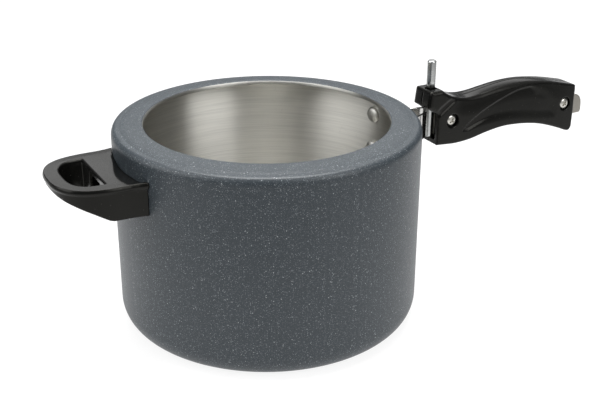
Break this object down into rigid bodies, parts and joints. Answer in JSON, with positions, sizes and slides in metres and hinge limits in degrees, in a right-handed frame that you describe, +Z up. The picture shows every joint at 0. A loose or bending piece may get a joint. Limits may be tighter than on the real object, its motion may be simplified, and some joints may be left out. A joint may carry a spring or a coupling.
{
  "type": "stovetop pressure cooker base",
  "caption": "Open inner-lid pressure cooker vessel with inturned rim, long handle with guide pin and catch strip, and a helper handle; all handles on riveted brackets.",
  "frame": {"origin": "centre of the base's underside, on the vessel's axis", "axes": "+Z up along the vessel's axis and the guide pin, +X along the long handle, away from the vessel; the helper handle is on -X"},
  "size_m": [0.4585, 0.221, 0.172],
  "materials": {
    "coated_aluminium": "blue-grey speckled stone-look coating outside and over the rim; bare machined aluminium inside",
    "bracket_steel": "polished stainless sheet",
    "rivet_aluminium": "satin, domed heads",
    "pin_steel": "ground and polished",
    "strip_steel": "satin, blanked edges",
    "phenolic": "semi-gloss black moulded phenolic",
    "fastener_steel": "nickel plated"
  },
  "bodies": {
    "root": {"pot_body": "coated_aluminium", "handle_bracket": "bracket_steel", "bracket_rivet_upper_near": "rivet_aluminium", "bracket_rivet_upper_far": "rivet_aluminium", "bracket_rivet_lower_near": "rivet_aluminium", "bracket_rivet_lower_far": "rivet_aluminium", "guide_pin": "pin_steel", "catch_strip": "strip_steel", "handle_half_near": "phenolic", "handle_half_far": "phenolic", "handle_screw_front": "fastener_steel", "handle_screw_rear": "fastener_steel", "handle_nut_front": "fastener_steel", "handle_nut_rear": "fastener_steel", "helper_handle": "phenolic", "helper_bracket": "bracket_steel", "helper_rivet_near": "rivet_aluminium", "helper_rivet_far": "rivet_aluminium", "helper_screw": "fastener_steel", "helper_nut": "fastener_steel"}
  },
  "joints": []
}
